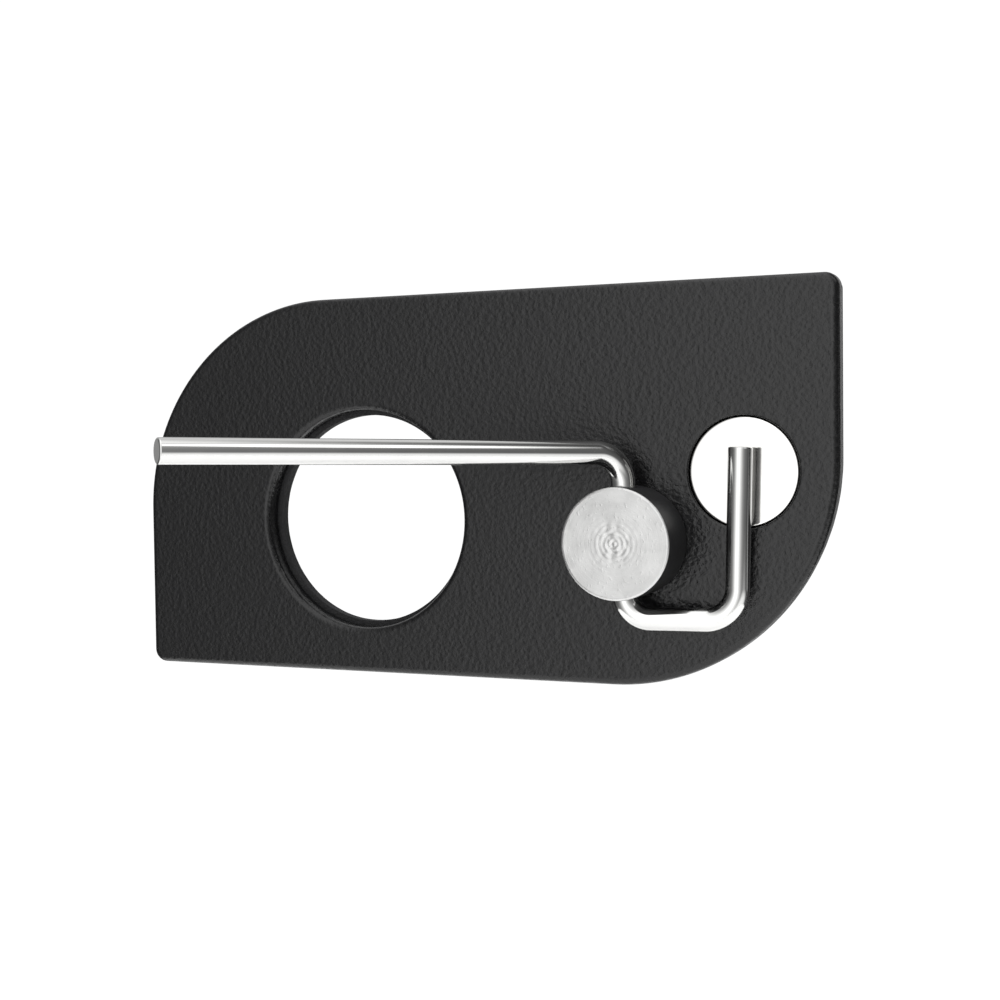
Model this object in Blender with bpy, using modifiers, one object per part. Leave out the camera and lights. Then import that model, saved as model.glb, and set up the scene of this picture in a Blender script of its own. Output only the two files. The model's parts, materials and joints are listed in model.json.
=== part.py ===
"""Magnetic flipper arrow rest for a recurve bow.

The rest stands upright: +Z is up, the adhesive back lies in the plane y = 0 and faces +Y, and the
wire arm reaches out towards -Y. The origin is the foot of the pivot post's axis on the adhesive back.
"""

from math import cos, pi, radians, sin, tan

import bmesh
import bpy
from mathutils import Matrix, Vector

MM = 0.001

# Plate: a flat shape with two wide and two tight corners, measured from the post's axis.
PLATE_LEFT = -32.05 * MM
PLATE_RIGHT = 11.3 * MM
PLATE_TOP = 14.2 * MM
PLATE_FOOT = -8.1 * MM
WIDE_CORNER = 12.6 * MM
TIGHT_CORNER = 0.8 * MM
PLATE_THICKNESS = 1.1 * MM
FRONT_ROUNDING = 0.4 * MM
BACK_EDGE_BREAK = 0.1 * MM

# Foam pad behind the plate, cut a little smaller.
PAD_THICKNESS = 0.65 * MM
PAD_INSET = 0.1 * MM
PAD_HOLE_RADIUS = 6.2 * MM

# Plunger hole, through the plate and, a little smaller, through the pad.
PLUNGER_HOLE_X = -16.85 * MM
PLUNGER_HOLE_Z = 1.05 * MM
PLUNGER_HOLE_RADIUS = 6.5 * MM
PLUNGER_HOLE_ROUNDING = 0.35 * MM

# Disc magnet in a hole through the plate, held by the pad behind it and set back from the front.
MAGNET_X = 6.17 * MM
MAGNET_Z = 3.75 * MM
MAGNET_RADIUS = 3.0 * MM
MAGNET_THICKNESS = 0.95 * MM
MAGNET_CHAMFER = 0.1 * MM
SEAT_ROUNDING = 0.12 * MM

# Pivot post: a turned head on a shank that is riveted over in a countersink behind the plate.
POST_RADIUS = 3.05 * MM
POST_HEIGHT = 3.3 * MM
POST_CHAMFER = 0.12 * MM
CENTRE_DIMPLE_RADIUS = 0.35 * MM
CENTRE_DIMPLE_DEPTH = 0.12 * MM
SHANK_RADIUS = 1.2 * MM
RIVET_RADIUS = 1.7 * MM
PIVOT_HEIGHT = 1.7 * MM  # of the wire's axis above the plate

# Arm: one bent wire, in order from the free tip to the end of the tail.
WIRE_RADIUS = 0.65 * MM
ARM_LENGTH = 25.35 * MM  # from the pivot axis to the free tip, seen from above
ARM_ANGLE = radians(50)  # out of the plate's plane
ARM_RISE = radians(1)  # the arm's slope upwards to its tip
ARM_Z = 4.84 * MM
CRANK_Z = -4.15 * MM
TAIL_X = 6.03 * MM  # at the crank
TAIL_LEAN = radians(1.5)  # of the tail away from the post, upwards
TAIL_TOP_Z = 5.1 * MM
ARM_BEND = 1.75 * MM
CRANK_BEND = 1.45 * MM
TAIL_BEND = 1.8 * MM
WIRE_END_ROUNDING = 0.12 * MM

# Fits.
GLUE_LINE = 0.05 * MM  # between glued or seated faces
WIRE_CLEARANCE = 0.075 * MM  # between the wire and the post's cross-hole, all round
TAIL_GAP = 0.25 * MM  # between the tail and the plate, at rest

PLATE_BACK_Y = -(PAD_THICKNESS + GLUE_LINE)
PLATE_FRONT_Y = PLATE_BACK_Y - PLATE_THICKNESS
PIVOT_Y = PLATE_FRONT_Y - PIVOT_HEIGHT
TAIL_Y = PLATE_FRONT_Y - WIRE_RADIUS - TAIL_GAP

OVERCUT = 1.0 * MM  # how far a cutter runs past the faces it cuts

# Segment counts.
WIDE_CORNER_STEPS = 20
TIGHT_CORNER_STEPS = 6
EDGE_ROUNDING_STEPS = 4
HOLE_SEGMENTS = 72
SEAT_SEGMENTS = 56
SHANK_HOLE_SEGMENTS = 40
POST_SEGMENTS = 64
CROSS_HOLE_SEGMENTS = 24
BEND_STEPS = 10
WIRE_BEVEL_RESOLUTION = 8
WIRE_END_STEPS = 2
FACING_PLATE = Matrix.Rotation(radians(90), 4, "X")  # turns a shape drawn upwards to face -Y


def clear_scene():
    for obj in list(bpy.data.objects):
        bpy.data.objects.remove(obj, do_unlink=True)


def new_collection(name):
    collection = bpy.data.collections.new(name)
    bpy.context.scene.collection.children.link(collection)
    return collection


def make_material(name, colour, roughness, metallic=0.0):
    material = bpy.data.materials.new(name)
    material.use_nodes = True
    shader = material.node_tree.nodes["Principled BSDF"]
    shader.inputs["Base Color"].default_value = (*colour, 1.0)
    shader.inputs["Roughness"].default_value = roughness
    shader.inputs["Metallic"].default_value = metallic
    return material


def curve_to_mesh_object(curve_object, name, collection):
    """The curve as a welded mesh object in the same place; the curve is removed."""
    bpy.context.view_layer.update()
    evaluated = curve_object.evaluated_get(bpy.context.evaluated_depsgraph_get())
    mesh = bpy.data.meshes.new_from_object(evaluated)
    shape = bmesh.new()
    shape.from_mesh(mesh)
    bmesh.ops.remove_doubles(shape, verts=shape.verts, dist=0.001 * MM)
    bmesh.ops.recalc_face_normals(shape, faces=shape.faces)
    shape.to_mesh(mesh)
    shape.free()
    obj = bpy.data.objects.new(name, mesh)
    obj.matrix_world = curve_object.matrix_world.copy()
    bpy.data.objects.remove(curve_object, do_unlink=True)
    collection.objects.link(obj)
    return obj


def arc(centre_x, centre_y, radius, start, end, steps):
    """Points along an arc, both ends included."""
    turns = (start + (end - start) * i / steps for i in range(steps + 1))
    return [(centre_x + radius * cos(a), centre_y + radius * sin(a)) for a in turns]


def plate_outline(inset):
    """The plate's outline: wide corners at top left and bottom right, tight ones at the others."""
    left, right = PLATE_LEFT + inset, PLATE_RIGHT - inset
    foot, top = PLATE_FOOT + inset, PLATE_TOP - inset
    wide, tight = WIDE_CORNER - inset, TIGHT_CORNER - inset
    return (
        arc(right - wide, foot + wide, wide, -pi / 2, 0, WIDE_CORNER_STEPS)
        + arc(right - tight, top - tight, tight, 0, pi / 2, TIGHT_CORNER_STEPS)
        + arc(left + wide, top - wide, wide, pi / 2, pi, WIDE_CORNER_STEPS)
        + arc(left + tight, foot + tight, tight, pi, 3 * pi / 2, TIGHT_CORNER_STEPS)
    )


def flat_piece(name, outline, front_y, back_y, collection):
    """A flat piece that stands upright between two depths."""
    curve = bpy.data.curves.new(name + "_outline", "CURVE")
    curve.dimensions = "2D"
    curve.fill_mode = "BOTH"
    curve.extrude = (back_y - front_y) / 2
    spline = curve.splines.new("POLY")
    spline.points.add(len(outline) - 1)
    for point, (x, z) in zip(spline.points, outline):
        point.co = (x, z, 0, 1)
    spline.use_cyclic_u = True
    guide = bpy.data.objects.new(name + "_outline", curve)
    collection.objects.link(guide)
    guide.matrix_world = Matrix.Translation((0, (front_y + back_y) / 2, 0)) @ FACING_PLATE
    return curve_to_mesh_object(guide, name, collection)


def turned_piece(name, profile, segments, collection):
    """A turned solid on local Z, from (radius, height) pairs that run down its outer side."""
    mesh = bpy.data.meshes.new(name)
    shape = bmesh.new()
    points = [shape.verts.new((radius, 0, height)) for radius, height in profile]
    for above, below in zip(points, points[1:]):
        shape.edges.new((above, below))
    shape.to_mesh(mesh)
    shape.free()
    obj = bpy.data.objects.new(name, mesh)
    collection.objects.link(obj)
    screw = obj.modifiers.new("turning", "SCREW")
    screw.steps = screw.render_steps = segments
    screw.use_merge_vertices = True
    screw.merge_threshold = 0.0005 * MM
    return obj


def place_facing_out(obj, x, y, z):
    """Puts a turned piece's axis along -Y, with its local zero height at depth y."""
    obj.matrix_world = Matrix.Translation((x, y, z)) @ FACING_PLATE


def cut(obj, cutter):
    cutter.hide_render = True
    cutter.display_type = "WIRE"
    boolean = obj.modifiers.new("cut_" + cutter.name, "BOOLEAN")
    boolean.operation = "DIFFERENCE"
    boolean.solver = "EXACT"
    boolean.object = cutter


def flared_cutter(name, radius, rounding, depth, segments, collection):
    """A cutter for a hole whose mouth, at local zero height, is rounded over."""
    steps = EDGE_ROUNDING_STEPS
    mouth = [
        (radius + rounding * (1 - sin(a)), -rounding * (1 - cos(a)))
        for a in (pi / 2 * i / steps for i in range(steps + 1))
    ]
    rim = mouth[0][0]
    profile = [(0, OVERCUT), (rim, OVERCUT), *mouth, (radius, -depth), (0, -depth)]
    return turned_piece(name, profile, segments, collection)


def round_front_edge(obj):
    """Rounds over the edge between the front face and the sides, and breaks the back edge."""
    shape = bmesh.new()
    shape.from_mesh(obj.data)
    bmesh.ops.dissolve_limit(shape, angle_limit=radians(1), verts=shape.verts, edges=shape.edges)
    for height, width, steps in (
        (PLATE_THICKNESS / 2, FRONT_ROUNDING, EDGE_ROUNDING_STEPS),
        (-PLATE_THICKNESS / 2, BACK_EDGE_BREAK, 1),
    ):
        rim = [e for e in shape.edges if all(abs(v.co.z - height) < 0.01 * MM for v in e.verts)]
        bmesh.ops.bevel(shape, geom=rim, offset=width, segments=steps, profile=0.5, affect="EDGES")
    shape.to_mesh(obj.data)
    shape.free()


def make_base_plate(parts, cutters):
    plate = flat_piece("base_plate", plate_outline(0), PLATE_FRONT_Y, PLATE_BACK_Y, parts)
    round_front_edge(plate)
    through = PLATE_THICKNESS + OVERCUT

    plunger = flared_cutter(
        "plunger_hole", PLUNGER_HOLE_RADIUS, PLUNGER_HOLE_ROUNDING, through, HOLE_SEGMENTS, cutters
    )
    place_facing_out(plunger, PLUNGER_HOLE_X, PLATE_FRONT_Y, PLUNGER_HOLE_Z)
    cut(plate, plunger)

    seat_radius = MAGNET_RADIUS + GLUE_LINE
    seat = flared_cutter("magnet_seat", seat_radius, SEAT_ROUNDING, through, SEAT_SEGMENTS, cutters)
    place_facing_out(seat, MAGNET_X, PLATE_FRONT_Y, MAGNET_Z)
    cut(plate, seat)

    drill = SHANK_RADIUS + GLUE_LINE
    sink = RIVET_RADIUS + GLUE_LINE
    sink_depth = sink - drill
    profile = [
        (0, through),
        (drill, through),
        (drill, sink_depth),
        (sink + OVERCUT, -OVERCUT),
        (0, -OVERCUT),
    ]
    shank_hole = turned_piece("shank_hole", profile, SHANK_HOLE_SEGMENTS, cutters)
    place_facing_out(shank_hole, 0, PLATE_BACK_Y, 0)
    cut(plate, shank_hole)
    return plate


def make_adhesive_pad(parts, cutters):
    pad = flat_piece("adhesive_pad", plate_outline(PAD_INSET), -PAD_THICKNESS, 0, parts)
    depth = PAD_THICKNESS + OVERCUT
    profile = [(0, depth), (PAD_HOLE_RADIUS, depth), (PAD_HOLE_RADIUS, -OVERCUT), (0, -OVERCUT)]
    hole = turned_piece("pad_hole", profile, HOLE_SEGMENTS, cutters)
    place_facing_out(hole, PLUNGER_HOLE_X, 0, PLUNGER_HOLE_Z)
    cut(pad, hole)
    return pad


def make_pivot_post(parts, cutters):
    """Heights run from the plate's back face, out through the plate to the post's face."""
    seat = PLATE_THICKNESS + GLUE_LINE
    face = PLATE_THICKNESS + POST_HEIGHT
    profile = [
        (0, face - CENTRE_DIMPLE_DEPTH),
        (CENTRE_DIMPLE_RADIUS, face),
        (POST_RADIUS - POST_CHAMFER, face),
        (POST_RADIUS, face - POST_CHAMFER),
        (POST_RADIUS, seat),
        (SHANK_RADIUS, seat),
        (SHANK_RADIUS, RIVET_RADIUS - SHANK_RADIUS),
        (RIVET_RADIUS, 0),
        (0, 0),
    ]
    post = turned_piece("pivot_post", profile, POST_SEGMENTS, parts)
    place_facing_out(post, 0, PLATE_BACK_Y, 0)

    bpy.ops.mesh.primitive_cylinder_add(
        vertices=CROSS_HOLE_SEGMENTS,
        radius=WIRE_RADIUS + WIRE_CLEARANCE,
        depth=2 * (POST_RADIUS + OVERCUT),
        location=(0, PIVOT_Y, 0),
    )
    cross_hole = bpy.context.object
    cross_hole.name = "cross_hole"
    for collection in list(cross_hole.users_collection):
        collection.objects.unlink(cross_hole)
    cutters.objects.link(cross_hole)
    cut(post, cross_hole)
    return post


def make_return_magnet(parts):
    edge = MAGNET_RADIUS - MAGNET_CHAMFER
    profile = [
        (0, MAGNET_THICKNESS),
        (edge, MAGNET_THICKNESS),
        (MAGNET_RADIUS, MAGNET_THICKNESS - MAGNET_CHAMFER),
        (MAGNET_RADIUS, MAGNET_CHAMFER),
        (edge, 0),
        (0, 0),
    ]
    magnet = turned_piece("return_magnet", profile, SEAT_SEGMENTS, parts)
    place_facing_out(magnet, MAGNET_X, PLATE_BACK_Y, MAGNET_Z)
    return magnet


def bent_path(corners, radii, steps):
    """A path through the corners, with each inner corner replaced by an arc of its radius."""
    path = [corners[0]]
    for before, corner, after, radius in zip(corners, corners[1:], corners[2:], radii):
        back = (before - corner).normalized()
        ahead = (after - corner).normalized()
        half = back.angle(ahead) / 2
        setback = radius / tan(half)
        centre = corner + (back + ahead).normalized() * (radius / sin(half))
        first = corner + back * setback - centre
        turn = Matrix.Rotation((pi - 2 * half) / steps, 3, back.cross(first).normalized())
        spoke = first
        for _ in range(steps + 1):
            path.append(centre + spoke)
            spoke = turn @ spoke
    path.append(corners[-1])
    return path


def make_flipper_arm(parts):
    """The wire, from the arm's tip down through the post and round the crank to the tail's end."""
    pivot = Vector((0, PIVOT_Y, 0))
    tip = Vector((-ARM_LENGTH * cos(ARM_ANGLE), -ARM_LENGTH * sin(ARM_ANGLE), ARM_LENGTH * tan(ARM_RISE)))
    arm_root = Vector((0, 0, ARM_Z))
    crank_root = Vector((0, 0, CRANK_Z))
    crank_end = Vector((TAIL_X, TAIL_Y - PIVOT_Y, CRANK_Z))
    lean = (TAIL_TOP_Z - CRANK_Z) * tan(TAIL_LEAN)
    tail_top = Vector((TAIL_X + lean, TAIL_Y - PIVOT_Y, TAIL_TOP_Z))
    corners = [arm_root + tip, arm_root, crank_root, crank_end, tail_top]
    path = bent_path(corners, (ARM_BEND, CRANK_BEND, TAIL_BEND), BEND_STEPS)

    curve = bpy.data.curves.new("wire_path", "CURVE")
    curve.dimensions = "3D"
    curve.bevel_depth = WIRE_RADIUS
    curve.bevel_resolution = WIRE_BEVEL_RESOLUTION
    curve.use_fill_caps = True
    spline = curve.splines.new("POLY")
    spline.points.add(len(path) - 1)
    for point, place in zip(spline.points, path):
        point.co = (*place, 1)
    guide = bpy.data.objects.new("wire_path", curve)
    guide.location = pivot
    parts.objects.link(guide)
    arm = curve_to_mesh_object(guide, "flipper_arm", parts)
    rounding = arm.modifiers.new("cut_ends", "BEVEL")
    rounding.limit_method = "ANGLE"
    rounding.angle_limit = radians(60)
    rounding.width = WIRE_END_ROUNDING
    rounding.segments = WIRE_END_STEPS
    return arm


def finish_piece(obj, material):
    obj.data.materials.clear()
    obj.data.materials.append(material)
    obj.data.shade_smooth()
    obj.data.set_sharp_from_angle(angle=radians(35))


def main():
    clear_scene()
    parts = new_collection("magnetic_flipper_rest")
    cutters = new_collection("cutters")
    black_plate = make_material("black_grained_plate", (0.03, 0.03, 0.03), 0.55)
    foam = make_material("grey_foam", (0.12, 0.12, 0.12), 0.9)
    turned_metal = make_material("turned_aluminium", (0.78, 0.78, 0.78), 0.35, 1.0)
    nickel = make_material("nickel_plating", (0.85, 0.84, 0.82), 0.1, 1.0)
    wire = make_material("stainless_wire", (0.7, 0.7, 0.7), 0.2, 1.0)

    finish_piece(make_base_plate(parts, cutters), black_plate)
    finish_piece(make_adhesive_pad(parts, cutters), foam)
    finish_piece(make_pivot_post(parts, cutters), turned_metal)
    finish_piece(make_return_magnet(parts), nickel)
    finish_piece(make_flipper_arm(parts), wire)


main()
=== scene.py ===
"""Looks of a magnetic flipper arrow rest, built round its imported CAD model.

Laid out as an add-on: a panel in the 3D view's sidebar lists one operator for each piece and one
for the stage. Run as a script, it calls them all in order. Lengths are in metres.
"""

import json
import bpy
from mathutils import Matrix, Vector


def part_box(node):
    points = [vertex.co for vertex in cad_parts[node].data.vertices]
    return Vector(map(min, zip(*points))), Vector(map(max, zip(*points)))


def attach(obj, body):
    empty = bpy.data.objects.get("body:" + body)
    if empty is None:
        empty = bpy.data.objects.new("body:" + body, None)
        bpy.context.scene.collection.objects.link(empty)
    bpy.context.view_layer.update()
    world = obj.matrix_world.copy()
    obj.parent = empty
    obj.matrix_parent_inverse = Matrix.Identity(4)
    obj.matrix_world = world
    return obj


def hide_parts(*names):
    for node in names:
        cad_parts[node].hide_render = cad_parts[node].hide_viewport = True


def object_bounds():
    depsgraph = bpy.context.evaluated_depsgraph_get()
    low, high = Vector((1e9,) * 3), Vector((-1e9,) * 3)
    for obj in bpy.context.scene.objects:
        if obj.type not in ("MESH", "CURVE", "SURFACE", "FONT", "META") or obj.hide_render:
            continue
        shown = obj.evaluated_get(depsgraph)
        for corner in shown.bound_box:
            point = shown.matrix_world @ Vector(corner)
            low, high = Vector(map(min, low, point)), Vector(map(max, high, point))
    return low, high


bl_info = {
    "name": "Magnetic Flipper Rest Looks",
    "version": (1, 0, 0),
    "blender": (4, 5, 0),
    "location": "3D View > Sidebar > Flipper Rest",
    "description": "Dresses the CAD model of a magnetic flipper arrow rest",
    "category": "Object",
}

from math import cos, pi, radians, sin, tan

import bmesh
import bpy
from bpy.props import FloatProperty, FloatVectorProperty, IntProperty, PointerProperty
from bpy.types import Operator, Panel, PropertyGroup
from mathutils import Matrix, Vector, noise

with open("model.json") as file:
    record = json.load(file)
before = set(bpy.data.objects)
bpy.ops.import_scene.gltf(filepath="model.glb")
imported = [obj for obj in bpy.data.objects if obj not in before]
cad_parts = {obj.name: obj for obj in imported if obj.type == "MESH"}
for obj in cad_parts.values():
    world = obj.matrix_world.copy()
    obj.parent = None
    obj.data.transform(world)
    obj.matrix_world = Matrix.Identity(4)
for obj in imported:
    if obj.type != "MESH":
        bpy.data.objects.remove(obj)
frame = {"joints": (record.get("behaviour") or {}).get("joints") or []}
CAD_LOW, CAD_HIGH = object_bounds()
PLATE_LOW, PLATE_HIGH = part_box("base_plate")
PAD_LOW, PAD_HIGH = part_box("adhesive_pad")
POST_LOW, POST_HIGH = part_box("pivot_post")
MAGNET_LOW, MAGNET_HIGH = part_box("return_magnet")
PIVOT = Vector(frame["joints"][0]["pos_m"])
MAGNET_MIDDLE = (MAGNET_LOW + MAGNET_HIGH) / 2

MM = 0.001

# How finely round shapes are divided.
WIDE_CORNER_STEPS = 48
TIGHT_CORNER_STEPS = 12
CIRCLE_SEGMENTS = 128
HOLE_CUTTER_SEGMENTS = 64
PLATE_EDGE_STEPS = 8
TURNED_EDGE_STEPS = 6
FILM_EDGE_STEPS = 3
WIRE_BEND_STEPS = 28
WIRE_END_STEPS = 5

NOISE_RANGE = (0.3, 0.7)  # where most of a noise texture's values lie
WIRE_MAP = "wire_run"


# ---------------------------------------------------------------- shapes


def arc(centre_x, centre_z, radius, start, end, steps):
    """Points along an arc in the plate's plane, both ends included."""
    turns = (start + (end - start) * i / steps for i in range(steps + 1))
    return [(centre_x + radius * cos(a), centre_z + radius * sin(a)) for a in turns]


def circle(centre_x, centre_z, radius, steps):
    """Points round a circle in the plate's plane."""
    return arc(centre_x, centre_z, radius, 0, 2 * pi, steps)[:-1]


def plate_outline(low, high, wide, tight, inset):
    """The plate's outline, set in: wide corners at top left and foot right, tight ones at the others."""
    left, right = low.x + inset, high.x - inset
    foot, top = low.z + inset, high.z - inset
    wide, tight = wide - inset, tight - inset
    return (
        arc(right - wide, foot + wide, wide, -pi / 2, 0, WIDE_CORNER_STEPS)
        + arc(right - tight, top - tight, tight, 0, pi / 2, TIGHT_CORNER_STEPS)
        + arc(left + wide, top - wide, wide, pi / 2, pi, WIDE_CORNER_STEPS)
        + arc(left + tight, foot + tight, tight, pi, 3 * pi / 2, TIGHT_CORNER_STEPS)
    )


def edge_profile(front, back, front_round, back_round, steps, support=0.03 * MM):
    """(inset, depth) pairs over an edge, from the front face's flat to the back face's.

    The support is a narrow strip of each flat next to its rounding, which keeps the flat's shading flat.
    """
    angles = [pi / 2 * i / steps for i in range(steps + 1)]
    profile = [(front_round + support, front)]
    profile += [(front_round * (1 - sin(a)), front + front_round * (1 - cos(a))) for a in angles]
    profile += [(back_round * (1 - cos(a)), back - back_round * (1 - sin(a))) for a in angles]
    profile.append((back_round + support, back))
    return profile


def bridge(shape, rings):
    """Quads between neighbouring rings of points, all of one count."""
    for one, two in zip(rings, rings[1:]):
        for i in range(len(one)):
            j = (i + 1) % len(one)
            shape.faces.new((one[i], one[j], two[j], two[i]))


def close_ring(shape, *rings):
    """Fills the flat area inside the first ring and outside the others, with crisp borders."""
    borders = []
    for ring in rings:
        for one, two in zip(ring, ring[1:] + ring[:1]):
            edge = shape.edges.get((one, two))
            edge.smooth = False
            borders.append(edge)
    if len(rings) == 1:
        shape.faces.new(rings[0])
    else:
        bmesh.ops.triangle_fill(shape, edges=borders, use_beauty=True)


def new_piece(name, shape, body, replaced, material):
    """Makes the object, rides it on its body and hides the CAD node it stands for."""
    bmesh.ops.recalc_face_normals(shape, faces=shape.faces)
    mesh = bpy.data.meshes.new(name)
    shape.to_mesh(mesh)
    shape.free()
    for face in mesh.polygons:
        face.use_smooth = True
    mesh.materials.append(material)
    obj = bpy.data.objects.new(name, mesh)
    bpy.context.scene.collection.objects.link(obj)
    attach(obj, body)
    if replaced:
        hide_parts(replaced)
    return obj


def flat_shape(low, high, wide, tight, profile, holes):
    """A flat piece with the plate's outline and round holes, each (x, z, radius, profile)."""
    shape = bmesh.new()
    outer = [
        [shape.verts.new((x, depth, z)) for x, z in plate_outline(low, high, wide, tight, inset)]
        for inset, depth in profile
    ]
    bridge(shape, outer)
    fronts, backs = [outer[0]], [outer[-1]]
    for centre_x, centre_z, radius, hole_profile in holes:
        rings = []
        for inset, depth in hole_profile:
            points = circle(centre_x, centre_z, radius + inset, CIRCLE_SEGMENTS)
            rings.append([shape.verts.new((x, depth, z)) for x, z in points])
        bridge(shape, rings)
        fronts.append(rings[0])
        backs.append(rings[-1])
    close_ring(shape, *fronts)
    close_ring(shape, *backs)
    return shape


def turned_shape(centre, profile):
    """A turned solid on an axis along -Y, from (radius, depth) pairs that run from front to back."""
    shape = bmesh.new()
    rings = [
        [shape.verts.new((x, depth, z)) for x, z in circle(centre.x, centre.z, radius, CIRCLE_SEGMENTS)]
        for radius, depth in profile
    ]
    bridge(shape, rings)
    close_ring(shape, rings[0])
    close_ring(shape, rings[-1])
    return shape


# ---------------------------------------------------------------- materials


def linear(colour):
    """An sRGB hex colour as linear RGBA."""
    values = [int(colour[i : i + 2], 16) / 255 for i in (1, 3, 5)]
    return (*(v / 12.92 if v <= 0.04045 else ((v + 0.055) / 1.055) ** 2.4 for v in values), 1.0)


def put(tree, kind, settings=None, inputs=None):
    """Adds a node. Inputs, by name or number, are values or other nodes' sockets to link."""
    node = tree.nodes.new(kind)
    for name, value in (settings or {}).items():
        setattr(node, name, value)
    for name, value in (inputs or {}).items():
        if isinstance(value, bpy.types.NodeSocket):
            tree.links.new(value, node.inputs[name])
        else:
            node.inputs[name].default_value = value
    return node


def new_material(name):
    """A material with a bare surface shader: (material, tree, shader)."""
    material = bpy.data.materials.new(name)
    material.use_nodes = True
    tree = material.node_tree
    return material, tree, tree.nodes["Principled BSDF"]


def scale_for(size):
    """A texture scale that gives features of this size, for coordinates in metres."""
    return 1 / size


def spread(tree, value, low, high, source=(0.0, 1.0)):
    """The value carried from the source's range to the one from low to high."""
    first, last = source
    inputs = {"Value": value, "From Min": first, "From Max": last, "To Min": low, "To Max": high}
    return put(tree, "ShaderNodeMapRange", inputs=inputs).outputs["Result"]


def noise_at(tree, vector, size, detail=2.0, distortion=0.0):
    """Soft noise with patches of this size."""
    inputs = {"Vector": vector, "Scale": scale_for(size), "Detail": detail, "Distortion": distortion}
    return put(tree, "ShaderNodeTexNoise", inputs=inputs).outputs["Fac"]


def blend_colours(tree, factor, first, second):
    """Two colours mixed by a factor that varies over the surface."""
    node = put(tree, "ShaderNodeMix", {"data_type": "RGBA"}, {"Factor": factor})
    for socket in node.inputs:
        if socket.type == "RGBA":
            socket.default_value = first if socket.name == "A" else second
    return next(socket for socket in node.outputs if socket.type == "RGBA")


def bump(tree, height, depth, onto=None):
    """A bump from a height between 0 and 1 that stands for this depth in metres."""
    inputs = {"Height": height, "Distance": depth, "Strength": 1.0}
    if onto:
        inputs["Normal"] = onto
    return put(tree, "ShaderNodeBump", inputs=inputs).outputs["Normal"]


def black_texture_paint(settings):
    """Black texture paint, sprayed and baked on sheet steel: satin, with a fine leathery pebble."""
    pebble_size = settings.grain * 1.3
    cloud_size = 6 * MM
    sheet_waviness = 0.01 * MM
    material, tree, shader = new_material("black_texture_paint_on_steel")
    place = put(tree, "ShaderNodeTexCoord").outputs["Object"]
    worms = noise_at(tree, place, settings.grain, detail=1.5, distortion=0.9)
    pebble_inputs = {"Vector": place, "Scale": scale_for(pebble_size), "Smoothness": 0.6}
    pebbles = put(tree, "ShaderNodeTexVoronoi", {"feature": "SMOOTH_F1"}, pebble_inputs)
    height_inputs = {0: worms, 1: pebbles.outputs["Distance"]}
    height = put(tree, "ShaderNodeMath", {"operation": "ADD"}, height_inputs).outputs[0]
    clouds = noise_at(tree, place, cloud_size, detail=3.0)
    colour = blend_colours(tree, clouds, settings.paint_dark, settings.paint_light)
    tree.links.new(colour, shader.inputs["Base Color"])
    roughness = spread(tree, worms, low=0.2, high=0.28, source=NOISE_RANGE)
    tree.links.new(roughness, shader.inputs["Roughness"])
    grain = bump(tree, height, settings.grain_depth)
    tree.links.new(bump(tree, clouds, sheet_waviness, grain), shader.inputs["Normal"])
    shader.inputs["IOR"].default_value = 1.5
    return material


def closed_cell_foam(settings):
    """Closed-cell polyethylene foam, die-cut: matt, with the cut cells showing on its edges."""
    cell_size = 0.16 * MM
    cell_depth = 0.03 * MM
    patch_size = 1.5 * MM
    material, tree, shader = new_material("closed_cell_foam_die_cut")
    place = put(tree, "ShaderNodeTexCoord").outputs["Object"]
    cell_inputs = {"Vector": place, "Scale": scale_for(cell_size)}
    cells = put(tree, "ShaderNodeTexVoronoi", None, cell_inputs).outputs["Distance"]
    patches = noise_at(tree, place, patch_size, detail=3.0)
    colour = blend_colours(tree, patches, settings.foam_dark, settings.foam_light)
    tree.links.new(colour, shader.inputs["Base Color"])
    tree.links.new(spread(tree, cells, low=0.75, high=0.95), shader.inputs["Roughness"])
    tree.links.new(bump(tree, cells, cell_depth), shader.inputs["Normal"])
    return material


def acrylic_adhesive(settings):
    """Pressure-sensitive acrylic adhesive, rolled on: a tacky gloss over the foam's cells."""
    cell_size = 0.32 * MM
    cell_depth = 0.02 * MM
    streak_size = 2.5 * MM
    streak_depth = 0.05 * MM
    material, tree, shader = new_material("acrylic_adhesive_rolled_on")
    place = put(tree, "ShaderNodeTexCoord").outputs["Object"]
    cell_inputs = {"Vector": place, "Scale": scale_for(cell_size), "Smoothness": 0.5}
    cells = put(tree, "ShaderNodeTexVoronoi", {"feature": "SMOOTH_F1"}, cell_inputs)
    streaks = noise_at(tree, place, streak_size, detail=4.0, distortion=0.4)
    colour = blend_colours(tree, streaks, settings.film_dark, settings.film_light)
    tree.links.new(colour, shader.inputs["Base Color"])
    roughness = spread(tree, streaks, low=0.22, high=0.42, source=NOISE_RANGE)
    tree.links.new(roughness, shader.inputs["Roughness"])
    pattern = bump(tree, cells.outputs["Distance"], cell_depth)
    tree.links.new(bump(tree, streaks, streak_depth, pattern), shader.inputs["Normal"])
    shader.inputs["IOR"].default_value = 1.47
    return material


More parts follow.
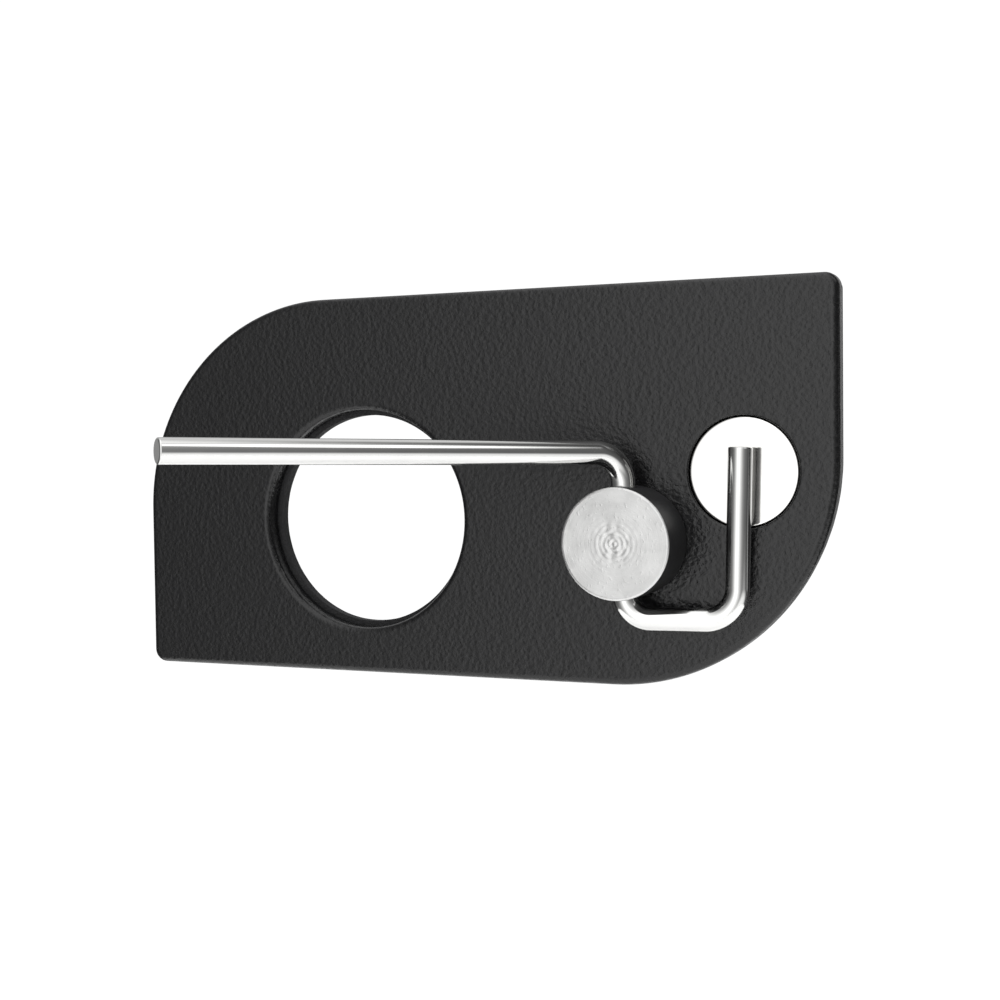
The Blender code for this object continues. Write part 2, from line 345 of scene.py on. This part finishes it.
def turned_aluminium(settings):
    """Aluminium bar, faced and turned: satin pale grey, with rings from the tool and a few pits."""
    cloud_size = 0.9 * MM
    pit_size = 0.16 * MM
    pit_depth = 0.006 * MM
    few_pits = (0.62, 0.75)  # only the noise's peaks
    mark_spacing = 0.1131 * MM
    mark_depth = 0.0006 * MM
    material, tree, shader = new_material("turned_aluminium_faced")
    place = put(tree, "ShaderNodeTexCoord").outputs["Object"]
    clouds = noise_at(tree, place, cloud_size, detail=4.0, distortion=0.3)
    pit_noise = noise_at(tree, place, pit_size, detail=1.0)
    pits = spread(tree, pit_noise, low=0.0, high=1.0, source=few_pits)
    colour = blend_colours(tree, clouds, settings.metal_dark, settings.metal_light)
    tree.links.new(colour, shader.inputs["Base Color"])
    roughness = spread(tree, clouds, low=0.34, high=0.46, source=NOISE_RANGE)
    tree.links.new(roughness, shader.inputs["Roughness"])
    round_the_axis = {"wave_type": "RINGS", "rings_direction": "Y"}
    # A wave texture of scale 1 has a ring every pi / 10.
    mark_scale = pi / 10 / mark_spacing
    mark_inputs = {"Vector": place, "Scale": mark_scale, "Distortion": 0.6, "Detail": 2.0}
    marks = put(tree, "ShaderNodeTexWave", round_the_axis, mark_inputs).outputs["Fac"]
    turned = bump(tree, marks, mark_depth)
    tree.links.new(bump(tree, pits, pit_depth, turned), shader.inputs["Normal"])
    shader.inputs["Metallic"].default_value = 1.0
    return material


def black_side_paint(settings):
    """Black paint, sprayed thin on the turned side: a smooth dark satin with faint lines round it."""
    round_stretch = 0.05
    line_size = 0.12 * MM
    line_depth = 0.002 * MM
    cloud_size = 1.2 * MM
    material, tree, shader = new_material("black_paint_on_turned_side")
    place = put(tree, "ShaderNodeTexCoord").outputs["Object"]
    stretch_inputs = {"Vector": place, "Scale": (round_stretch, 1.0, round_stretch)}
    turned = put(tree, "ShaderNodeMapping", None, stretch_inputs).outputs["Vector"]
    lines = noise_at(tree, turned, line_size, detail=3.0)
    clouds = noise_at(tree, place, cloud_size, detail=3.0)
    colour = blend_colours(tree, clouds, settings.paint_dark, settings.paint_light)
    tree.links.new(colour, shader.inputs["Base Color"])
    roughness = spread(tree, clouds, low=0.38, high=0.48, source=NOISE_RANGE)
    tree.links.new(roughness, shader.inputs["Roughness"])
    tree.links.new(bump(tree, lines, line_depth), shader.inputs["Normal"])
    return material


def bright_nickel(settings):
    """Bright nickel, barrel-plated on a sintered magnet: a mirror with a faint orange peel."""
    peel_size = 0.7 * MM
    peel_depth = 0.0015 * MM
    rub_size = 1.8 * MM
    rubbed = (0.35, 0.7)  # the noise's lowest values stay unrubbed
    material, tree, shader = new_material("bright_nickel_plating")
    place = put(tree, "ShaderNodeTexCoord").outputs["Object"]
    peel = noise_at(tree, place, peel_size)
    rubs = noise_at(tree, place, rub_size, detail=5.0, distortion=1.0)
    colour = blend_colours(tree, rubs, settings.metal_dark, settings.metal_light)
    tree.links.new(colour, shader.inputs["Base Color"])
    roughness = spread(tree, rubs, low=0.05, high=0.12, source=rubbed)
    tree.links.new(roughness, shader.inputs["Roughness"])
    tree.links.new(bump(tree, peel, peel_depth), shader.inputs["Normal"])
    shader.inputs["Metallic"].default_value = 1.0
    return material


def drawn_stainless(settings):
    """Stainless spring wire, drawn and polished: bright, with fine lines along its length."""
    lengthwise_stretch = 0.006
    line_size = 0.05 * MM
    line_depth = 0.0008 * MM
    cloud_size = 1.6 * MM
    material, tree, shader = new_material("drawn_stainless_wire")
    run = put(tree, "ShaderNodeUVMap", {"uv_map": WIRE_MAP}).outputs["UV"]
    stretch_inputs = {"Vector": run, "Scale": (lengthwise_stretch, 1.0, 1.0)}
    lengthwise = put(tree, "ShaderNodeMapping", None, stretch_inputs).outputs["Vector"]
    lines = noise_at(tree, lengthwise, line_size, detail=3.0)
    clouds = noise_at(tree, run, cloud_size, detail=3.0)
    colour = blend_colours(tree, clouds, settings.metal_dark, settings.metal_light)
    tree.links.new(colour, shader.inputs["Base Color"])
    roughness = spread(tree, clouds, low=0.07, high=0.13, source=NOISE_RANGE)
    tree.links.new(roughness, shader.inputs["Roughness"])
    tree.links.new(bump(tree, lines, line_depth), shader.inputs["Normal"])
    shader.inputs["Metallic"].default_value = 1.0
    return material


def pale_paper(settings):
    """Matt coated paper: even and pale, with a faint tooth."""
    tooth_size = 0.8 * MM
    tooth_depth = 0.005 * MM
    material, tree, shader = new_material("matt_coated_paper")
    place = put(tree, "ShaderNodeTexCoord").outputs["Object"]
    tooth = noise_at(tree, place, tooth_size, detail=3.0)
    colour = blend_colours(tree, tooth, settings.paper_dark, settings.paper_light)
    tree.links.new(colour, shader.inputs["Base Color"])
    tree.links.new(bump(tree, tooth, tooth_depth), shader.inputs["Normal"])
    shader.inputs["Roughness"].default_value = 0.9
    shader.inputs["Specular IOR Level"].default_value = 0.0
    return material


# ---------------------------------------------------------------- settings


def length(name, description, default):
    """A length in metres."""
    return FloatProperty(name=name, description=description, default=default, unit="LENGTH", precision=5)


def angle(name, description, default):
    """An angle in radians, shown in degrees."""
    return FloatProperty(name=name, description=description, default=default, unit="ROTATION")


def tint(name, description, colour):
    """A colour, given as sRGB hex and held as linear RGBA."""
    return FloatVectorProperty(
        name=name, description=description, default=linear(colour), subtype="COLOR", size=4, min=0, max=1
    )


class REST_PG_plate(PropertyGroup):
    wide_corner: length("Wide corner", "Radius of the wide corners", 12.6 * MM)
    tight_corner: length("Tight corner", "Radius of the tight corners", 0.8 * MM)
    front_rounding: length("Front rounding", "Radius of the front edge", 0.4 * MM)
    back_break: length("Back edge", "Radius of the back edge", 0.1 * MM)
    plunger_x: length("Plunger hole, across", "Centre of the plunger hole", -16.85 * MM)
    plunger_z: length("Plunger hole, up", "Centre of the plunger hole", 1.05 * MM)
    plunger_radius: length("Plunger hole radius", "Radius of the hole's wall", 6.5 * MM)
    plunger_rounding: length("Plunger hole rounding", "Radius of the hole's front edge", 0.35 * MM)
    seat_gap: length("Magnet seat gap", "Room round the magnet", 0.05 * MM)
    seat_rounding: length("Magnet seat rounding", "Radius of the seat's front edge", 0.12 * MM)
    seat_break: length("Magnet seat back edge", "Radius of the seat's back edge", 0.05 * MM)
    grain: length("Paint grain", "Width of the paint's pebbles", 0.2 * MM)
    grain_depth: length("Paint grain depth", "Height of the paint's pebbles", 0.019 * MM)
    paint_dark: tint("Paint, dark", "Darker shade of the paint", "#0A0A0B")
    paint_light: tint("Paint, light", "Lighter shade of the paint", "#101011")


class REST_PG_pad(PropertyGroup):
    hole_radius: length("Pad hole radius", "Radius of the hole cut in the foam", 6.2 * MM)
    film: length("Adhesive film", "Thickness of the adhesive on the back", 0.05 * MM)
    film_inset: length("Film inset", "How far the film stays inside the foam", 0.06 * MM)
    raggedness: length("Cut edge raggedness", "How far cut cells stand in from the edge", 0.02 * MM)
    foam_dark: tint("Foam, dark", "Darker shade of the foam", "#1C1C1D")
    foam_light: tint("Foam, light", "Lighter shade of the foam", "#2A2A2B")
    film_dark: tint("Film, dark", "Darker shade of the adhesive", "#333336")
    film_light: tint("Film, light", "Lighter shade of the adhesive", "#434347")


class REST_PG_post(PropertyGroup):
    rounding: length("Edge rounding", "Radius of the face's edge", 0.14 * MM)
    foot_gap: length("Foot gap", "Gap between the post's foot and the plate", 0.05 * MM)
    ring_pitch: length("Ring pitch", "Distance between the tool's rings", 0.26 * MM)
    ring_depth: length("Ring depth", "Depth of the rings next to the centre", 0.015 * MM)
    ring_reach: length("Ring reach", "Radius within which the rings are deep", 0.85 * MM)
    scuff_depth: length("Scuff depth", "Unevenness of the rings next to the centre", 0.04 * MM)
    pip_radius: length("Centre pip radius", "Radius of the pip that facing leaves", 0.16 * MM)
    pip_height: length("Centre pip height", "Height of the pip", 0.02 * MM)
    cross_hole: length("Cross hole radius", "Radius of the wire's hole", 0.725 * MM)
    metal_dark: tint("Aluminium, dark", "Darker shade of the metal", "#BCBCBB")
    metal_light: tint("Aluminium, light", "Lighter shade of the metal", "#EEEEED")
    paint_dark: tint("Side paint, dark", "Darker shade of the paint", "#161617")
    paint_light: tint("Side paint, light", "Lighter shade of the paint", "#1E1E1F")


class REST_PG_magnet(PropertyGroup):
    rounding: length("Magnet rounding", "Radius of the magnet's edges", 0.12 * MM)
    metal_dark: tint("Nickel, dark", "Darker shade of the plating", "#EFEEEC")
    metal_light: tint("Nickel, light", "Lighter shade of the plating", "#F7F6F4")


class REST_PG_arm(PropertyGroup):
    wire_radius: length("Wire radius", "Radius of the wire", 0.65 * MM)
    arm_length: length("Arm length", "From the pivot to the free tip, seen from above", 25.35 * MM)
    arm_angle: angle("Arm angle", "Turn out of the plate's plane", radians(50))
    arm_rise: angle("Arm rise", "Slope upwards to the tip", radians(1))
    arm_height: length("Arm height", "Height of the arm over the pivot's middle", 4.84 * MM)
    crank_height: length("Crank height", "Height of the crank", -4.15 * MM)
    tail_place: length("Tail place", "From the pivot across to the tail, at the crank", 6.03 * MM)
    tail_lean: angle("Tail lean", "Lean of the tail away from the post", radians(1.5))
    tail_gap: length("Tail gap", "Gap between the tail and the plate", 0.25 * MM)
    tail_top: length("Tail top", "Height of the tail's end", 5.1 * MM)
    arm_bend: length("Arm bend", "Radius of the bend below the arm", 1.75 * MM)
    crank_bend: length("Crank bend", "Radius of the bend into the crank", 1.45 * MM)
    tail_bend: length("Tail bend", "Radius of the bend into the tail", 1.8 * MM)
    end_rounding: length("End rounding", "Radius of the cut ends", 0.1 * MM)
    sides: IntProperty(name="Sides", description="Sides round the wire", default=64, min=16)
    metal_dark: tint("Stainless, dark", "Darker shade of the wire", "#DCDCDB")
    metal_light: tint("Stainless, light", "Lighter shade of the wire", "#E8E8E6")


class REST_PG_stage(PropertyGroup):
    floor_drop: length("Floor drop", "How far the floor lies under the rest", 28 * MM)
    floor_radius: length("Floor radius", "Radius of the floor", 62 * MM)
    paper_dark: tint("Paper, dark", "Darker shade of the floor", "#F1F1F1")
    paper_light: tint("Paper, light", "Lighter shade of the floor", "#F5F5F5")
    lamp_size: length("Lamp size", "Diameter of the overhead lamp", 300 * MM)
    lamp_height: length("Lamp height", "Height of the lamp over the origin", 400 * MM)
    lamp_power: FloatProperty(name="Lamp power", description="Power of the lamp", default=1.6, unit="POWER")
    camera_place: FloatVectorProperty(
        name="Camera", description="Where the camera stands", subtype="TRANSLATION", unit="LENGTH",
        default=(26.508 * MM, -82.308 * MM, 5.392 * MM),
    )
    camera_turn: FloatVectorProperty(
        name="Camera turn", description="Tilt, roll and turn of the camera", subtype="EULER",
        default=(radians(-2.08), radians(0.73), radians(23.187)),
    )
    lens: FloatProperty(name="Lens", description="Focal length, in mm", default=55.22)
    sensor_width: FloatProperty(name="Sensor", description="Width of the sensor, in mm", default=36.0)


class REST_PG_settings(PropertyGroup):
    plate: PointerProperty(type=REST_PG_plate)
    pad: PointerProperty(type=REST_PG_pad)
    post: PointerProperty(type=REST_PG_post)
    magnet: PointerProperty(type=REST_PG_magnet)
    arm: PointerProperty(type=REST_PG_arm)
    stage: PointerProperty(type=REST_PG_stage)


# ---------------------------------------------------------------- operators


class REST_OT_stage(Operator):
    """Makes the camera, the pale floor and the soft studio light"""

    bl_idname = "flipper_rest.stage"
    bl_label = "Stage"

    def execute(self, context):
        settings = context.scene.flipper_rest.stage
        make_camera(context, settings)
        make_floor(context, settings)
        make_lamp(context, settings)
        make_surroundings(context)
        context.scene.view_settings.view_transform = "Standard"
        return {"FINISHED"}


def make_camera(context, settings):
    """A camera that starts level and facing +Y, and is then rolled, tilted and turned."""
    tilt, roll, turn = settings.camera_turn
    rotation = (
        Matrix.Rotation(turn, 4, "Z")
        @ Matrix.Rotation(tilt, 4, "X")
        @ Matrix.Rotation(roll, 4, "Y")
        @ Matrix.Rotation(pi / 2, 4, "X")
    )
    camera = bpy.data.objects.new("camera", bpy.data.cameras.new("camera"))
    context.scene.collection.objects.link(camera)
    camera.matrix_world = Matrix.Translation(settings.camera_place) @ rotation
    camera.data.lens = settings.lens
    camera.data.sensor_width = settings.sensor_width
    camera.data.clip_start = 1 * MM
    context.scene.camera = camera


def make_floor(context, settings):
    """A round sheet of pale paper some way under the rest."""
    shape = bmesh.new()
    bmesh.ops.create_circle(
        shape, cap_ends=True, radius=settings.floor_radius, segments=CIRCLE_SEGMENTS
    )
    mesh = bpy.data.meshes.new("floor")
    shape.to_mesh(mesh)
    shape.free()
    mesh.materials.append(pale_paper(settings))
    floor = bpy.data.objects.new("floor", mesh)
    floor.location = (0, 0, CAD_LOW.z - settings.floor_drop)
    context.scene.collection.objects.link(floor)


def make_lamp(context, settings):
    """A wide lamp overhead that lights the floor and casts the soft shadow."""
    light = bpy.data.lights.new("overhead_softbox", "AREA")
    light.shape = "DISK"
    light.size = settings.lamp_size
    light.energy = settings.lamp_power
    lamp = bpy.data.objects.new("overhead_softbox", light)
    lamp.location = (0, 0, settings.lamp_height)
    lamp.visible_glossy = False
    lamp.visible_camera = False
    context.scene.collection.objects.link(lamp)


def direction(azimuth, elevation):
    """A unit direction. Azimuth 0 is -Y, the front, and grows towards +X."""
    a, e = radians(azimuth), radians(elevation)
    return Vector((sin(a) * cos(e), -cos(a) * cos(e), sin(e)))


def make_surroundings(context):
    """White surroundings for the eye, and for reflections a soft front light in a greyer room."""
    world = bpy.data.worlds.new("soft_studio")
    world.use_nodes = True
    context.scene.world = world
    tree = world.node_tree
    tree.nodes.clear()
    looking = put(tree, "ShaderNodeTexCoord").outputs["Generated"]

    def along(vector):
        inputs = {0: looking, 1: vector}
        return put(tree, "ShaderNodeVectorMath", {"operation": "DOT_PRODUCT"}, inputs).outputs["Value"]

    def maths(operation, first, second=0.0):
        return put(tree, "ShaderNodeMath", {"operation": operation}, {0: first, 1: second}).outputs[0]

    def ramp(towards, outer, inner, darkest, brightest):
        """Light that grows with the cosine of the angle to a direction, from the outer to the inner."""
        inputs = {
            "Value": along(towards),
            "From Min": outer,
            "From Max": inner,
            "To Min": darkest,
            "To Max": brightest,
        }
        settings = {"interpolation_type": "SMOOTHSTEP"}
        return put(tree, "ShaderNodeMapRange", settings, inputs).outputs["Result"]

    def round_light(towards, rim, core, strength):
        """A round light with a soft rim. Rim and core are angles from its middle, in degrees."""
        return ramp(towards, cos(radians(rim)), cos(radians(core)), 0.0, strength)

    # The front light: a curtain from floor to ceiling that fades to both sides, faster to the left.
    fade_right, fade_left = 0.55, 0.48
    offside = along(direction(90, 0))
    fade = maths(
        "MAXIMUM", maths("DIVIDE", offside, fade_right), maths("DIVIDE", offside, -fade_left)
    )
    curtain = maths("EXPONENT", maths("MULTIPLY", maths("POWER", fade, 2.0), -1.0))
    open_front = ramp(direction(-12, 0), outer=-0.35, inner=0.05, darkest=0.0, brightest=1.5)
    lights = (
        maths("MULTIPLY", curtain, open_front),
        # A smaller softbox, high on the right.
        round_light(direction(76, 46), rim=16, core=7, strength=1.4),
        # The ceiling behind the rest.
        round_light(Vector((-0.15, 0.4, 0.9)), rim=30, core=8, strength=0.3),
        # Light from behind, on the left.
        ramp(direction(200, 25), outer=0.4, inner=0.95, darkest=0.08, brightest=0.55),
        # A narrow light on the right, and the ground below it.
        round_light(direction(112, 0), rim=13, core=5, strength=0.35),
        round_light(direction(75, -38), rim=36, core=14, strength=0.9),
    )
    strength = 0.0
    for light in lights:
        strength = maths("ADD", light, strength)

    backdrop_strength = 1.05
    white = (1.0, 1.0, 1.0, 1.0)
    room = put(tree, "ShaderNodeBackground", None, {"Color": white, "Strength": strength})
    plain = put(tree, "ShaderNodeBackground", None, {"Color": white, "Strength": backdrop_strength})
    seen = put(tree, "ShaderNodeLightPath").outputs["Is Camera Ray"]
    mix_inputs = {0: seen, 1: room.outputs[0], 2: plain.outputs[0]}
    mixed = put(tree, "ShaderNodeMixShader", None, mix_inputs).outputs[0]
    put(tree, "ShaderNodeOutputWorld", None, {"Surface": mixed})


class REST_OT_plate(Operator):
    """Makes the painted steel plate with its plunger hole and magnet seat"""

    bl_idname = "flipper_rest.plate"
    bl_label = "Plate"

    def execute(self, context):
        settings = context.scene.flipper_rest.plate
        front, back, back_break = PLATE_LOW.y, PLATE_HIGH.y, settings.back_break
        steps = PLATE_EDGE_STEPS
        outer = edge_profile(front, back, settings.front_rounding, back_break, steps)
        plunger = edge_profile(front, back, settings.plunger_rounding, back_break, steps)
        seat = edge_profile(front, back, settings.seat_rounding, settings.seat_break, steps)
        seat_radius = (MAGNET_HIGH.x - MAGNET_LOW.x) / 2 + settings.seat_gap
        holes = [
            (settings.plunger_x, settings.plunger_z, settings.plunger_radius, plunger),
            (MAGNET_MIDDLE.x, MAGNET_MIDDLE.z, seat_radius, seat),
        ]
        shape = flat_shape(
            PLATE_LOW, PLATE_HIGH, settings.wide_corner, settings.tight_corner, outer, holes
        )
        paint = black_texture_paint(settings)
        new_piece("painted_plate", shape, "plate", "base_plate", paint)
        return {"FINISHED"}


class REST_OT_pad(Operator):
    """Makes the foam pad behind the plate and the adhesive film on its back"""

    bl_idname = "flipper_rest.pad"
    bl_label = "Adhesive pad"

    def execute(self, context):
        settings = context.scene.flipper_rest.pad
        plate = context.scene.flipper_rest.plate
        inset = PAD_LOW.x - PLATE_LOW.x
        wide, tight = plate.wide_corner - inset, plate.tight_corner - inset
        front, film_front = PAD_LOW.y, PAD_HIGH.y - settings.film

        support = 0.02 * MM
        rows = 6
        foam_profile = [(support, front)]
        foam_profile += [(0, front + (film_front - front) * i / rows) for i in range(rows + 1)]
        foam_profile.append((support, film_front))
        hole = (plate.plunger_x, plate.plunger_z, settings.hole_radius, foam_profile)
        foam = flat_shape(PAD_LOW, PAD_HIGH, wide, tight, foam_profile, [hole])
        roughen_cut_edge(foam, settings.raggedness)
        new_piece(
            "foam_core", foam, "plate", "adhesive_pad", closed_cell_foam(settings)
        )

        film_profile = edge_profile(
            film_front, PAD_HIGH.y, front_round=0.01 * MM, back_round=0.02 * MM,
            steps=FILM_EDGE_STEPS, support=0.01 * MM,
        )
        film_profile = [(settings.film_inset + inset, depth) for inset, depth in film_profile]
        film_hole = (plate.plunger_x, plate.plunger_z, settings.hole_radius, film_profile)
        film = flat_shape(PAD_LOW, PAD_HIGH, wide, tight, film_profile, [film_hole])
        new_piece("adhesive_film", film, "plate", None, acrylic_adhesive(settings))
        return {"FINISHED"}


def roughen_cut_edge(shape, depth):
    """Moves the points of the cut sides towards the middle by an uneven amount."""
    cell_clump = 0.35 * MM
    centre = (PAD_LOW + PAD_HIGH) / 2
    for vert in shape.verts:
        amount = noise.noise(vert.co * scale_for(cell_clump)) * 0.5 + 0.5
        inward = (centre - vert.co).normalized()
        inward.y = 0
        vert.co += inward * amount * depth


class REST_OT_post(Operator):
    """Makes the turned post, with its faced end and the wire's cross hole"""

    bl_idname = "flipper_rest.post"
    bl_label = "Pivot post"

    def execute(self, context):
        settings = context.scene.flipper_rest.post
        radius = (POST_HIGH.x - POST_LOW.x) / 2
        face = POST_LOW.y
        foot = PLATE_LOW.y - settings.foot_gap
        reach = settings.rounding
        profile = faced_end(settings, radius - reach, face)
        for i in range(1, TURNED_EDGE_STEPS + 1):
            a = pi / 2 * i / TURNED_EDGE_STEPS
            profile.append((radius - reach * (1 - sin(a)), face + reach * (1 - cos(a))))
        support = 0.05 * MM
        profile += [(radius, foot), (radius - support, foot)]
        shape = turned_shape(Vector((0, 0, 0)), profile)
        scuff_middle(shape, settings, face)
        aluminium = turned_aluminium(settings)
        post = new_piece("faced_post", shape, "plate", "pivot_post", aluminium)
        drill_cross_hole(context, post, settings)
        post.data.materials.append(black_side_paint(settings))
        facing_front = -0.6  # faces whose normals reach below this are the bare end
        for polygon in post.data.polygons:
            if polygon.normal.y > facing_front:
                polygon.material_index = 1
        return {"FINISHED"}


def near_centre(radius, settings, far):
    """1 in the middle of the face, falling past the rings' reach to the far share."""
    steepness = 4
    return far + (1 - far) / (1 + (radius / settings.ring_reach) ** steepness)


def faced_end(settings, edge, face):
    """(radius, depth) pairs over the faced end: a pip in the middle, then the tool's rings."""
    pairs_per_ring = 8
    dish = 0.022 * MM  # how far the rings lie behind the rim
    far_share = 0.04
    step = settings.ring_pitch / pairs_per_ring
    pairs = []
    radius = step / 2
    while radius < edge:
        wave = 0.5 - 0.5 * cos(2 * pi * radius / settings.ring_pitch)
        groove = settings.ring_depth * near_centre(radius, settings, far_share) * wave
        pip = settings.pip_height * max(0.0, 1 - (radius / settings.pip_radius) ** 2)
        pairs.append((radius, face + dish + groove - pip))
        radius += step
    pairs.append((edge, face))
    return pairs


def scuff_middle(shape, settings, face):
    """Moves the face's points in and out unevenly, mostly next to the centre."""
    patch_size = 0.3 * MM
    scuffed_radius = 2.8 * MM
    far_share = 0.1
    for vert in shape.verts:
        if vert.co.y < face + settings.rounding:
            radius = Vector((vert.co.x, vert.co.z)).length
            share = near_centre(radius, settings, far_share)
            inside = max(0.0, 1 - radius / scuffed_radius)
            swell = noise.noise(vert.co * scale_for(patch_size))
            vert.co.y += settings.scuff_depth * share * inside * swell


def drill_cross_hole(context, post, settings):
    """Cuts the wire's hole through the post, with the modifier applied."""
    cutter_length = 12 * MM
    sharp_angle = radians(40)
    shape = bmesh.new()
    place = Matrix.Translation((0, PIVOT.y, 0))
    bmesh.ops.create_cone(
        shape, cap_ends=True, segments=HOLE_CUTTER_SEGMENTS, radius1=settings.cross_hole,
        radius2=settings.cross_hole, depth=cutter_length, matrix=place,
    )
    mesh = bpy.data.meshes.new("cross_hole")
    shape.to_mesh(mesh)
    shape.free()
    cutter = bpy.data.objects.new("cross_hole", mesh)
    context.scene.collection.objects.link(cutter)
    modifier = post.modifiers.new("cross_hole", "BOOLEAN")
    modifier.operation = "DIFFERENCE"
    modifier.solver = "EXACT"
    modifier.object = cutter
    context.view_layer.update()
    evaluated = post.evaluated_get(context.evaluated_depsgraph_get())
    drilled = bpy.data.meshes.new_from_object(evaluated)
    post.modifiers.clear()
    post.data = drilled
    drilled.set_sharp_from_angle(angle=sharp_angle)
    bpy.data.objects.remove(cutter, do_unlink=True)


class REST_OT_magnet(Operator):
    """Makes the nickel-plated disc magnet"""

    bl_idname = "flipper_rest.magnet"
    bl_label = "Return magnet"

    def execute(self, context):
        settings = context.scene.flipper_rest.magnet
        radius = (MAGNET_HIGH.x - MAGNET_LOW.x) / 2
        edge = edge_profile(
            MAGNET_LOW.y, MAGNET_HIGH.y, settings.rounding, settings.rounding, TURNED_EDGE_STEPS
        )
        profile = [(radius - inset, depth) for inset, depth in edge]
        shape = turned_shape(MAGNET_MIDDLE, profile)
        nickel = bright_nickel(settings)
        new_piece("plated_magnet", shape, "plate", "return_magnet", nickel)
        return {"FINISHED"}


class REST_OT_arm(Operator):
    """Makes the bent wire arm"""

    bl_idname = "flipper_rest.arm"
    bl_label = "Flipper arm"

    def execute(self, context):
        settings = context.scene.flipper_rest.arm
        path = wire_path(settings)
        shape = wire_shape(path, settings)
        wire = drawn_stainless(settings)
        new_piece("wire_arm", shape, "arm", "flipper_arm", wire)
        return {"FINISHED"}


def wire_path(settings):
    """The wire's middle line, from the arm's free tip to the end of the tail."""
    tail_y = PLATE_LOW.y - settings.wire_radius - settings.tail_gap
    reach, out = settings.arm_length, settings.arm_angle
    arm_root = Vector((0, PIVOT.y, settings.arm_height))
    tip = arm_root + Vector((-reach * cos(out), -reach * sin(out), reach * tan(settings.arm_rise)))
    tail_foot = Vector((settings.tail_place, tail_y, settings.crank_height))
    rise = settings.tail_top - settings.crank_height
    corners = [
        tip,
        arm_root,
        Vector((0, PIVOT.y, settings.crank_height)),
        tail_foot,
        tail_foot + Vector((rise * tan(settings.tail_lean), 0, rise)),
    ]
    bends = (settings.arm_bend, settings.crank_bend, settings.tail_bend)
    return bent_path(corners, bends, WIRE_BEND_STEPS)


def bent_path(corners, radii, steps):
    """A path through the corners, with each inner corner replaced by an arc of its radius."""
    path = [corners[0]]
    for before, corner, after, radius in zip(corners, corners[1:], corners[2:], radii):
        back = (before - corner).normalized()
        ahead = (after - corner).normalized()
        half = back.angle(ahead) / 2
        centre = corner + (back + ahead).normalized() * (radius / sin(half))
        spoke = corner + back * (radius / tan(half)) - centre
        turn = Matrix.Rotation((pi - 2 * half) / steps, 3, back.cross(spoke).normalized())
        for _ in range(steps + 1):
            path.append(centre + spoke)
            spoke = turn @ spoke
    path.append(corners[-1])
    return path


def wire_shape(path, settings):
    """A round wire along the path with rounded cut ends, and a map of its run in metres."""
    rounding = settings.end_rounding
    angles = [pi / 2 * i / WIRE_END_STEPS for i in range(WIRE_END_STEPS + 1)]
    ends = [(rounding * (1 - sin(a)), rounding * (1 - cos(a))) for a in angles]
    stations = []
    start = (path[1] - path[0]).normalized()
    finish = (path[-1] - path[-2]).normalized()
    stations += [(path[0] + start * way, inset) for inset, way in ends]
    stations += [(point, 0.0) for point in path[1:-1]]
    stations += [(path[-1] - finish * way, inset) for inset, way in reversed(ends)]

    shape = bmesh.new()
    layer = shape.loops.layers.uv.new(WIRE_MAP)
    rings, runs = [], []
    side = Vector((0, 0, 1))
    run = 0.0
    points = [place for place, _ in stations]
    for i, (place, inset) in enumerate(stations):
        before, after = points[max(i - 1, 0)], points[min(i + 1, len(points) - 1)]
        heading = (after - before).normalized()
        side = (side - heading * side.dot(heading)).normalized()
        other = heading.cross(side)
        radius = settings.wire_radius - inset
        turns = (2 * pi * k / settings.sides for k in range(settings.sides))
        rings.append([shape.verts.new(place + (side * cos(t) + other * sin(t)) * radius) for t in turns])
        run += (place - points[max(i - 1, 0)]).length
        runs.append(run)
    bridge(shape, rings)
    close_ring(shape, rings[0])
    close_ring(shape, rings[-1])
    mark_run(layer, rings, runs, settings)
    return shape


def mark_run(layer, rings, runs, settings):
    """Maps each face corner to its way along the wire and round it, in metres."""
    round_step = 2 * pi * settings.wire_radius / settings.sides
    known = {}
    for ring, run in zip(rings, runs):
        for k, vert in enumerate(ring):
            known[vert] = (run, k)
    faces = {face for vert in known for face in vert.link_faces}
    for face in faces:
        around = [known[loop.vert][1] for loop in face.loops]
        wraps = max(around) - min(around) > settings.sides / 2 and len(around) == 4
        for loop in face.loops:
            run, k = known[loop.vert]
            if wraps and k == 0:
                k = settings.sides
            loop[layer].uv = (run, k * round_step)


# ---------------------------------------------------------------- panel and run


PIECE_OPERATORS = (REST_OT_plate, REST_OT_pad, REST_OT_post, REST_OT_magnet, REST_OT_arm)


class REST_PT_panel(Panel):
    """Lists the rest's operators"""

    bl_label = "Flipper Rest"
    bl_idname = "REST_PT_panel"
    bl_space_type = "VIEW_3D"
    bl_region_type = "UI"
    bl_category = "Flipper Rest"

    def draw(self, context):
        for operator in (REST_OT_stage, *PIECE_OPERATORS):
            self.layout.operator(operator.bl_idname)


CLASSES = (
    REST_PG_plate,
    REST_PG_pad,
    REST_PG_post,
    REST_PG_magnet,
    REST_PG_arm,
    REST_PG_stage,
    REST_PG_settings,
    REST_OT_stage,
    *PIECE_OPERATORS,
    REST_PT_panel,
)


def register():
    for each in CLASSES:
        bpy.utils.register_class(each)
    bpy.types.Scene.flipper_rest = PointerProperty(type=REST_PG_settings)


def unregister():
    del bpy.types.Scene.flipper_rest
    for each in reversed(CLASSES):
        bpy.utils.unregister_class(each)


def main():
    register()
    bpy.ops.flipper_rest.stage()
    bpy.ops.flipper_rest.plate()
    bpy.ops.flipper_rest.pad()
    bpy.ops.flipper_rest.post()
    bpy.ops.flipper_rest.magnet()
    bpy.ops.flipper_rest.arm()


if __name__ == "__main__":
    main()
